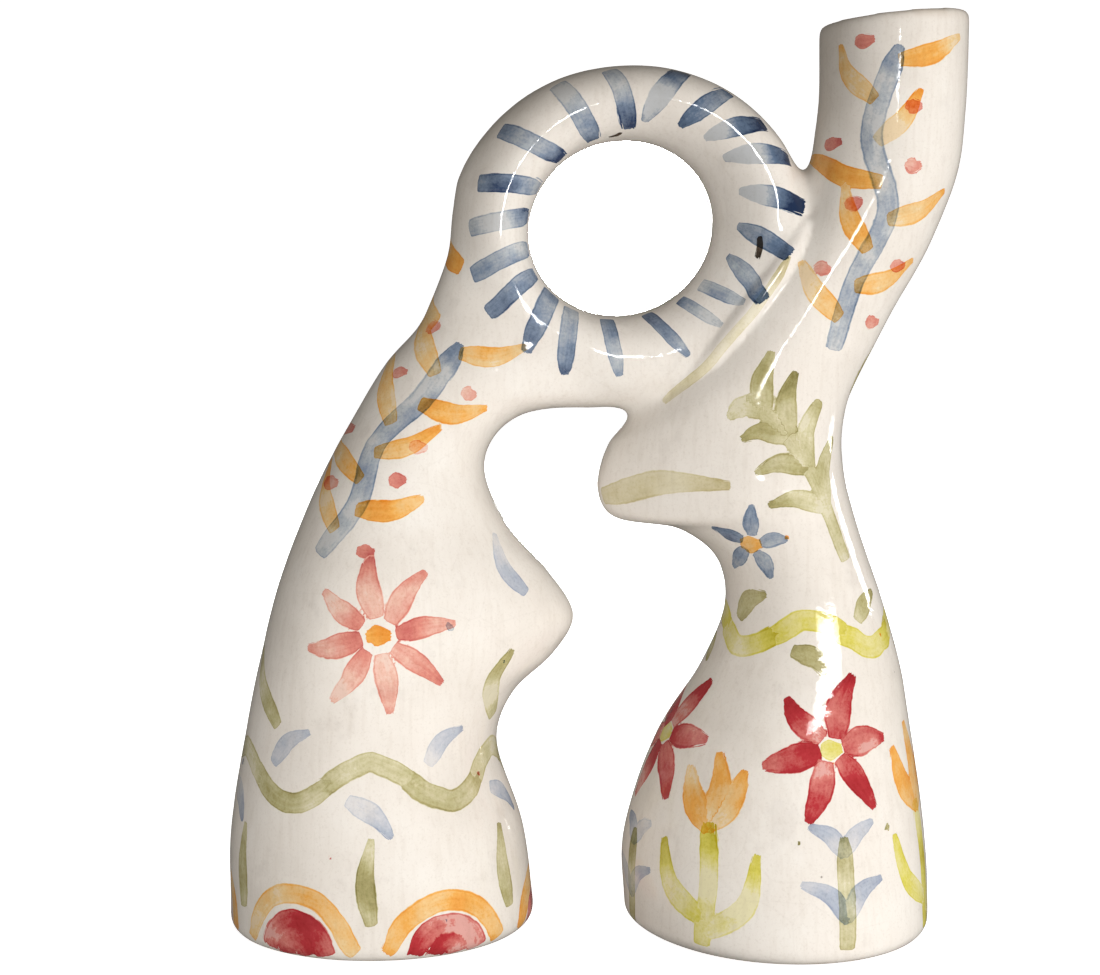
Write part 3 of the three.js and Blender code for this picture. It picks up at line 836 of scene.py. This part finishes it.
def decorate():
    for side in (-1, 1):
        ring_dabs(side)
        groove_line(side)
    splashes()

    # Left limb
    scallops(LEFT_FOOT.x, count=6, height=4, fill="crimson", edge="orange", between="olive")
    vine(LEFT_FOOT.x, 74, 9, 5, "olive", "wash_blue")
    for face in (on_front, on_back):
        flower(spot(face(-90, 136)), "coral", "orange")
        for x, degrees in ((-134, 108), (-44, 74)):
            leaf("olive", face, (x, 98), degrees, 30, 11)
        leaf("wash_blue", face, (-30, 152), 120, 26, 10)
        leaf("wash_blue", face, (-138, 160), 62, 24, 10)
        stem = [(-115, 170), (-100, 190), (-93, 214), (-73, 234), (-57, 255)]
        garland(face, stem, "blue", "orange", "coral")
    for height in (274, 298):
        paint("orange", on_left, [(-13, height - 8), (0, height), (12, height + 9)], 9.5, 0.8, 0.5)

    # Right limb
    around = round_limb(RIGHT_FOOT.x)
    for degrees in (-122, -22, 68, 152):
        tulip(spot(around(degrees, 8)), "orange", "chartreuse")
    for degrees in (-70, 24, 110, -164):
        flower(spot(around(degrees, 88)), "crimson", "chartreuse", petals=6, inner=7, length=24, width=14)
        low = spot(around(degrees, 8))
        sprig(low, "olive", "wash_blue", height=44, lean=3, pairs=2, length=24, width=10)
    vine(91, 134, 6, 4, "chartreuse", "olive", 9.5, 17.0)
    for face in (on_front, on_back):
        waist = spot(face(106, 166), turn=36)
        sprig(waist, "olive", "olive", height=84, lean=12, pairs=4, length=30, width=11.5)
        leaf("straw", face, (4, 190), 8, 52, 13, 0.08)
        flower(spot(face(66, 172)), "blue", "orange", petals=5, inner=5, length=13, width=8.5)
        stem = [(101, 256), (109, 284), (122, 312), (115, 344), (126, 379)]
        garland(face, stem, "blue", "orange", "coral")


skin = make_skin()
surface = Surface(skin.data)
sections = cut_sections(skin)
decorate()


def brush_fields(points, normals, layer):
    """Half widths from the nearest stroke, the lane in its numbered bristles, and millimetres to its end."""
    fields = np.tile([UNPAINTED, 0.0, FAR_FROM_END], (len(points), 1))
    for stroke in layer:
        margin = REACH * stroke.half_widths.max()
        low = stroke.points.min(axis=0) - margin
        high = stroke.points.max(axis=0) + margin
        near = np.flatnonzero(((points > low) & (points < high)).all(axis=1))
        if len(near) == 0:
            continue
        gaps = points[near][:, None] - stroke.points[None]
        nearest = np.einsum("ijk,ijk->ij", gaps, gaps).argmin(axis=1)
        gap = gaps[np.arange(len(near)), nearest]
        tangent = stroke.tangents[nearest]
        facing = stroke.normals[nearest]
        along = np.einsum("ij,ij->i", gap, tangent)
        aside = np.einsum("ij,ij->i", gap, np.cross(facing, tangent))
        across = np.linalg.norm(gap - along[:, None] * tangent, axis=1)
        half = stroke.half_widths[nearest]
        beyond = np.where(nearest == 0, -along, np.where(nearest == len(stroke.points) - 1, along, 0))
        beyond = np.maximum(beyond, 0)
        corner = (across / half) ** CORNER_POWER + (beyond / (BLUNTNESS * half)) ** CORNER_POWER
        share = corner ** (1 / CORNER_POWER)
        left = (len(stroke.points) - 1 - nearest) * STROKE_STEP
        share[np.einsum("ij,ij->i", normals[near], facing) < SAME_SIDE] = UNPAINTED
        closer = share < fields[near, 0]
        chosen = near[closer]
        fields[chosen, 0] = share[closer]
        fields[chosen, 1] = (aside / half)[closer] + LANES * stroke.number
        fields[chosen, 2] = left[closer]
    return fields


for node, section in sections.items():
    section.name = node + "_glazed"
    section.data.name = section.name
    points, normals = shade_as_one(section)
    for colour, layer in strokes.items():
        field = section.data.attributes.new("paint_" + colour, "FLOAT_VECTOR", "POINT")
        field.data.foreach_set("vector", brush_fields(points, normals, layer).ravel())
    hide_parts(node)
    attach(section, "root")

# Materials

NO_FOURTH = 0.0


class Nodes:
    """Short words for building a node tree."""

    def __init__(self, material):
        material.use_nodes = True
        self.tree = material.node_tree
        self.shader = self.tree.nodes["Principled BSDF"].inputs
        self.place = self.new("TexCoord").outputs["Object"]

    def new(self, kind, *given, **values):
        """A node whose first inputs are given."""
        node = self.tree.nodes.new("ShaderNode" + kind)
        for name, value in values.items():
            setattr(node, name, value)
        for socket, value in zip(node.inputs, given):
            self.put(socket, value)
        return node

    def put(self, socket, value):
        if isinstance(value, bpy.types.NodeSocket):
            self.tree.links.new(value, socket)
        else:
            socket.default_value = value

    def math(self, operation, *values, clamp=False):
        return self.new("Math", *values, operation=operation, use_clamp=clamp).outputs[0]

    def times(self, a, b):
        return self.math("MULTIPLY", a, b)

    def fade(self, value, low, high, first=0.0, last=1.0):
        """A smooth change from first to last while a value goes from low to high."""
        return self.new("MapRange", value, low, high, first, last, interpolation_type="SMOOTHSTEP").outputs[0]

    def noise(self, vector, scale, detail=3.0, roughness=0.55):
        """Noise from 0 to 1, whose scale counts its waves per unit."""
        return self.new("TexNoise", vector, NO_FOURTH, scale, detail, roughness).outputs["Fac"]

    def chance(self, number):
        """A random value from 0 to 1 that belongs to a number."""
        node = self.new("TexWhiteNoise", noise_dimensions="1D")
        self.put(node.inputs["W"], number)
        return node.outputs["Value"]

    def voronoi(self, vector, scale, feature):
        return self.new("TexVoronoi", vector, NO_FOURTH, scale, feature=feature).outputs

    def mix(self, blend, factor, a, b):
        return self.new("MixRGB", factor, a, b, blend_type=blend).outputs[0]

    def bump(self, height, distance):
        node = self.new("Bump")
        node.inputs["Distance"].default_value = distance
        self.put(node.inputs["Height"], height)
        self.put(self.shader["Normal"], node.outputs[0])

    def ramp(self, factor, stops):
        node = self.new("ValToRGB", factor)
        elements = node.color_ramp.elements
        while len(elements) < len(stops):
            elements.new(0.5)
        for element, (position, colour) in zip(elements, stops):
            element.position = position
            element.color = (*colour, 1)
        return node.outputs[0]


# Heights in millimetres: glaze worn thin below the lip, and the band at the foot that turns browner and
# darker towards the floor
LIP_WEAR, LIP_WEAR_REACH, FOOT_DARK_BAND = 390.0, 6.0, 3.0

# Tones of the glaze, the clay, the flaws in them and a darker band at the foot
GLAZE_TONES = [(0.3, (0.70, 0.645, 0.58)), (0.5, (0.76, 0.705, 0.64)), (0.7, (0.80, 0.755, 0.695))]
CLAY_TONES = [(0.3, (0.50, 0.36, 0.25)), (0.7, (0.66, 0.52, 0.39))]
MARK_TINT, DUST_TINT, STAIN_TINT = (0.72, 0.66, 0.60, 1), (0.62, 0.56, 0.50, 1), (0.66, 0.63, 0.62, 1)
# Of the next two colours, the second browns the thin glaze on the lip and darkens the lowest millimetres of
# the foot, towards the floor
CRAZE, THIN_LIP_GLAZE_AND_DARK_FOOT = (0.52, 0.46, 0.40, 1), (0.50, 0.40, 0.30, 1)
SPECK, GROG = (0.09, 0.06, 0.04, 1), (0.30, 0.20, 0.13, 1)

# Light that each colour lets through where it lies thin, full and pooled
PIGMENTS = {
    "blue": ((0.60, 0.67, 0.76), (0.25, 0.34, 0.50), (0.03, 0.06, 0.16)),
    "navy": ((0.50, 0.58, 0.69), (0.15, 0.23, 0.38), (0.015, 0.035, 0.10)),
    "wash_blue": ((0.80, 0.84, 0.93), (0.54, 0.62, 0.78), (0.30, 0.38, 0.56)),
    "orange": ((1.0, 0.78, 0.44), (1.0, 0.53, 0.13), (0.90, 0.30, 0.03)),
    "olive": ((0.80, 0.79, 0.56), (0.52, 0.50, 0.25), (0.22, 0.20, 0.06)),
    "straw": ((0.91, 0.89, 0.72), (0.80, 0.76, 0.54), (0.60, 0.54, 0.30)),
    "coral": ((0.97, 0.66, 0.58), (0.84, 0.33, 0.28), (0.60, 0.12, 0.12)),
    "crimson": ((0.80, 0.28, 0.26), (0.55, 0.045, 0.06), (0.34, 0.012, 0.02)),
    "chartreuse": ((0.94, 0.92, 0.52), (0.82, 0.78, 0.16), (0.56, 0.50, 0.02)),
    "iron": ((0.55, 0.48, 0.40), (0.12, 0.09, 0.07), (0.02, 0.015, 0.01)),
}
THIN_AT, FULL_AT, POOLED_AT = 0.22, 0.58, 1.0

# How far strokes lean to being dark at their start and not at their end
EVEN_LEAN, PIGMENT_LEAN = 0.45, {"navy": 0.05}

# Streaks of bristles per half width and per millimetre, and lengths to the stroke's end
BRISTLES, BRISTLE_RUN = 3.2, 0.045
WET_END, DRY_END, POOL_FROM, POOL_TO, LONG_STROKE = 4.0, 9.0, 2.0, 22.0, 34.0
RIM_WANDER, RAGGED, RAGGED_END = 0.2, 0.3, 1.3
FULL_BODY, LEAST_BODY, RIM_BODY, END_BODY = 0.44, 0.16, 0.24, 0.12


def brush_amount(nodes, colour, wander, wash, grain):
    """How much colour lies at a point: streaked, clouded, drawn to the rim, and ragged at a dry end."""
    field = nodes.new("Attribute", attribute_name="paint_" + colour).outputs["Vector"]
    share, lane, left = nodes.new("SeparateXYZ", field).outputs
    across, along = nodes.times(lane, BRISTLES), nodes.times(left, BRISTLE_RUN)
    streak = nodes.new("CombineXYZ", across, along).outputs[0]
    bristle = nodes.math("SUBTRACT", nodes.noise(streak, scale=1.0, detail=2.0), 0.5)
    number = nodes.math("ROUND", nodes.times(lane, 1 / LANES))
    load = nodes.math("SUBTRACT", nodes.chance(number), 0.5)
    other_chance = nodes.chance(nodes.math("ADD", number, 0.37))
    lean = nodes.math("SUBTRACT", other_chance, PIGMENT_LEAN.get(colour, EVEN_LEAN))
    pool = nodes.times(lean, nodes.fade(left, POOL_FROM, POOL_TO, 1.0, -1.0))
    pool = nodes.times(pool, nodes.fade(left, POOL_TO, LONG_STROKE, 1.0, 0.25))

    dry = nodes.fade(left, 0.0, DRY_END, 1.0, 0.0)
    ragged = nodes.times(bristle, nodes.math("MULTIPLY_ADD", dry, RAGGED_END, RAGGED))
    rim = nodes.math("MULTIPLY_ADD", wander, RIM_WANDER, share)
    rim = nodes.math("ADD", rim, ragged)
    cover = nodes.fade(rim, 0.92, 1.02, 1.0, 0.0)

    body = FULL_BODY
    for source, weight in ((bristle, 0.3), (wash, 1.25), (grain, 0.3), (load, 0.24), (pool, 0.62)):
        body = nodes.math("MULTIPLY_ADD", source, weight, body)
    body = nodes.math("ADD", body, nodes.fade(rim, 0.76, 0.95, 0.0, RIM_BODY))
    body = nodes.math("ADD", body, nodes.fade(left, 0.0, WET_END, END_BODY, 0.0))
    return nodes.math("MULTIPLY", cover, nodes.math("MAXIMUM", body, LEAST_BODY), clamp=True)


def make_glaze():
    nodes = Nodes(GLAZE)
    place = nodes.place
    wander = nodes.math("SUBTRACT", nodes.noise(place, scale=240.0, detail=2.0), 0.5)
    wash = nodes.math("SUBTRACT", nodes.noise(place, scale=62.0), 0.5)
    grain = nodes.math("SUBTRACT", nodes.noise(place, scale=900.0, detail=2.0, roughness=0.7), 0.5)

    # Off-white glaze, clouded, with faint marks of the brush that laid it on, dust and stains
    colour = nodes.ramp(nodes.noise(place, scale=20.0, detail=5.0, roughness=0.62), GLAZE_TONES)
    drawn = nodes.new("Mapping", place)
    drawn.inputs["Scale"].default_value = (1.0, 1.0, 0.09)
    marks = nodes.noise(drawn.outputs[0], scale=420.0)
    stains = nodes.noise(place, scale=46.0, detail=4.0, roughness=0.6)
    for source, low, high, share, tint in (
        (marks, 0.46, 0.70, 0.14, MARK_TINT),
        (grain, 0.02, 0.2, 0.16, DUST_TINT),
        (stains, 0.58, 0.72, 0.22, STAIN_TINT),
    ):
        colour = nodes.mix("MULTIPLY", nodes.fade(source, low, high, 0.0, share), colour, tint)

    # Faint crazing under the gloss, in patches
    warp = nodes.new("TexNoise", place, NO_FOURTH, 5.0)
    reach = (0.004, 0.004, 0.004)
    bent = nodes.new("VectorMath", warp.outputs["Color"], reach, place, operation="MULTIPLY_ADD")
    cells = nodes.voronoi(bent.outputs[0], scale=38.0, feature="DISTANCE_TO_EDGE")
    crack = nodes.fade(cells["Distance"], 0.0, 0.02, 1.0, 0.0)
    patch = nodes.fade(nodes.noise(place, scale=14.0, detail=1.0), 0.45, 0.65, 0.0, 0.09)
    colour = nodes.mix("MIX", nodes.times(crack, patch), colour, CRAZE)

    # Thin glaze on the lip, and a browner, darker band along the lowest millimetres of the foot, towards the
    # floor
    height = nodes.new("SeparateXYZ", place).outputs[2]
    lip = nodes.fade(height, LIP_WEAR * MM, (LIP_WEAR + LIP_WEAR_REACH) * MM)
    foot = nodes.fade(height, 0.0, FOOT_DARK_BAND * MM, 1.0, 0.0)
    lip_wear_and_dark_foot = nodes.times(nodes.math("MAXIMUM", lip, foot), nodes.fade(wash, -0.1, 0.15, 0.1, 0.5))
    colour = nodes.mix("MIX", lip_wear_and_dark_foot, colour, THIN_LIP_GLAZE_AND_DARK_FOOT)

    # Colours of the brush, each over the last
    for name, stops in PIGMENTS.items():
        amount = brush_amount(nodes, name, wander, wash, grain)
        tint = nodes.ramp(amount, [(0.0, (1, 1, 1)), *zip((THIN_AT, FULL_AT, POOLED_AT), stops)])
        colour = nodes.mix("MULTIPLY", 1.0, colour, tint)

    # Iron specks and pinholes
    cells = nodes.voronoi(place, scale=85.0, feature="F1")
    chosen = nodes.new("SeparateColor", cells["Color"]).outputs
    rare = nodes.fade(chosen[0], 0.90, 0.905)
    size = nodes.times(chosen[1], 0.055)
    speck = nodes.fade(nodes.math("SUBTRACT", cells["Distance"], size), 0.0, 0.03, 1.0, 0.0)
    speck = nodes.times(speck, rare)
    colour = nodes.mix("MIX", nodes.times(speck, 0.75), colour, SPECK)
    nodes.put(nodes.shader["Base Color"], colour)

    smear = nodes.noise(place, scale=60.0)
    nodes.put(nodes.shader["Roughness"], nodes.fade(smear, 0.3, 0.75, 0.03, 0.09))
    ripple = nodes.noise(place, scale=95.0, detail=2.0)
    fine = nodes.noise(place, scale=230.0, detail=2.0)
    for source, weight in ((fine, 0.4), (grain, 0.05), (speck, -0.5)):
        ripple = nodes.math("MULTIPLY_ADD", source, weight, ripple)
    nodes.bump(ripple, distance=0.00014)


def make_bare_clay():
    nodes = Nodes(BARE_CLAY)
    tone = nodes.noise(nodes.place, scale=45.0, detail=5.0, roughness=0.65)
    cells = nodes.voronoi(nodes.place, scale=520.0, feature="F1")
    grog = nodes.fade(cells["Distance"], 0.12, 0.22, 0.45, 0.0)
    nodes.put(nodes.shader["Base Color"], nodes.mix("MIX", grog, nodes.ramp(tone, CLAY_TONES), GROG))
    nodes.put(nodes.shader["Roughness"], nodes.fade(tone, 0.2, 0.8, 0.75, 0.92))
    nodes.bump(nodes.noise(nodes.place, scale=700.0), distance=0.0004)


make_glaze()
make_bare_clay()

# Stage, camera and light

STAGE_MIDDLE, STAGE_RADIUS, STAGE_CURVE, STAGE_WALL = 0.3, 1.6, 1.2, 2.5
STAGE_SIDES, STAGE_BENDS = 96, 24
FLOOR_TONE, FLOOR_GLOW = (0.8, 0.8, 0.8, 1), 0.9
CAMERA_AT, CAMERA_TILT, LENS, SENSOR = (-0.0191, -0.966, 0.2715), -4.616, 72.75, 36
WORLD_TINT, WORLD_STRENGTH = (1.0, 0.93, 0.82, 1), 0.14
MIDDLE_OF_VASE, MIDDLE_OF_RING = (0, 0, 0.22), (0.0155, 0, 0.3015)
EDGE_OF_WAIST, KNEE = (110, 167), (98.4, 131)


def make_stage():
    """A round pale floor whose edge curves up into a pale wall all round."""
    bend = np.linspace(0, np.pi / 2, STAGE_BENDS)
    radii = np.concatenate([[STAGE_MIDDLE, STAGE_RADIUS], STAGE_RADIUS + STAGE_CURVE * np.sin(bend)])
    heights = np.concatenate([[0, 0], STAGE_CURVE * (1 - np.cos(bend)), [STAGE_WALL]])
    radii = np.append(radii, radii[-1])[:, None]
    angle = round_angles(STAGE_SIDES)
    upright = np.broadcast_to(heights[:, None], (len(heights), STAGE_SIDES))
    points = np.stack([radii * np.cos(angle), radii * np.sin(angle), upright], -1).reshape(-1, 3)
    faces = [face[::-1] for face in bands(len(heights), STAGE_SIDES, closed=False)]
    faces.append(list(range(STAGE_SIDES)))
    mesh = bpy.data.meshes.new("floor")
    mesh.from_pydata(points.tolist(), [], faces)
    mesh.shade_smooth()
    floor = placed("floor", mesh)
    floor.visible_diffuse = False
    floor.visible_glossy = False
    floor.visible_shadow = False
    pale = bpy.data.materials.new("pale_floor")
    pale.use_nodes = True
    shader = pale.node_tree.nodes["Principled BSDF"]
    for name, value in (
        ("Base Color", FLOOR_TONE),
        ("Roughness", 0.9),
        ("Specular IOR Level", 0.1),
        ("Emission Color", (1, 1, 1, 1)),
        ("Emission Strength", FLOOR_GLOW),
    ):
        shader.inputs[name].default_value = value
    mesh.materials.append(pale)


def make_camera():
    camera = placed("camera", bpy.data.cameras.new("camera"))
    camera.location = CAMERA_AT
    camera.rotation_euler = Euler((math.radians(90 + CAMERA_TILT), 0, 0))
    camera.data.lens = LENS
    camera.data.sensor_width = SENSOR
    bpy.context.scene.camera = camera


def lamp(name, azimuth, elevation, distance, size, energy, aim=MIDDLE_OF_VASE, spread=180, tall=None):
    """A lamp that only lights the clay, turned from the front to the right and aimed, in metres."""
    target = Vector(aim)
    turn = Euler((math.radians(-elevation), 0, math.radians(azimuth)))
    light = placed(name, bpy.data.lights.new(name, "AREA"))
    light.location = target + turn.to_matrix() @ Vector((0, -distance, 0))
    light.rotation_euler = (target - light.location).to_track_quat("-Z", "Y").to_euler()
    light.data.shape = "RECTANGLE"
    light.data.size = size
    light.data.size_y = tall or size
    light.data.energy = energy
    light.data.spread = math.radians(spread)
    light.visible_glossy = False
    light.visible_camera = False
    return light


def mirrored(light):
    """Makes a lamp give highlights on the gloss and no other light."""
    light.visible_glossy = True
    light.visible_diffuse = False


def highlight(name, x, z, distance, size, tall, energy, spread):
    """A lamp that the gloss at one place of the front mirrors into the camera."""
    point, normal = (Vector(v) for v in on_front(x, z))
    point, normal = point * MM, normal.normalized()
    ray = (point - bpy.context.scene.camera.location).normalized().reflect(normal)
    azimuth = math.degrees(math.atan2(ray.x, -ray.y))
    elevation = math.degrees(math.asin(ray.z))
    mirrored(lamp(name, azimuth, elevation, distance, size, energy, tuple(point), spread, tall))


def make_light():
    world = bpy.data.worlds.new("studio")
    bpy.context.scene.world = world
    world.use_nodes = True
    background = world.node_tree.nodes["Background"]
    background.inputs["Color"].default_value = WORLD_TINT
    background.inputs["Strength"].default_value = WORLD_STRENGTH
    lamp("soft_key", 34, 4, 1.9, size=1.4, energy=30.0)
    lamp("left_fill", -36, -10, 0.62, size=0.4, energy=0.25, aim=(-0.08, 0, 0.13), spread=50)
    lamp("right_fill", 62, -8, 0.8, size=0.5, energy=2.2, aim=(0, 0, 0.10))
    lamp("floor_bounce", 8, -4, 0.9, size=0.6, energy=0.8, aim=(0, 0, 0.06))
    lamp("back_key", 176, 14, 1.9, size=0.9, energy=28.0)
    mirrored(lamp("back_flash", 176, 4, 1.2, size=0.2, energy=5.0))
    mirrored(lamp("flash", 6.1, 4.3, 1.0, size=0.11, energy=0.014, aim=MIDDLE_OF_RING, spread=14))
    highlight("edge", *EDGE_OF_WAIST, 0.25, size=0.05, tall=0.05, energy=0.004, spread=30)
    highlight("window", *KNEE, 0.20, size=0.12, tall=0.016, energy=0.010, spread=40)
    bpy.context.scene.view_settings.view_transform = "Standard"


make_stage()
make_camera()
make_light()
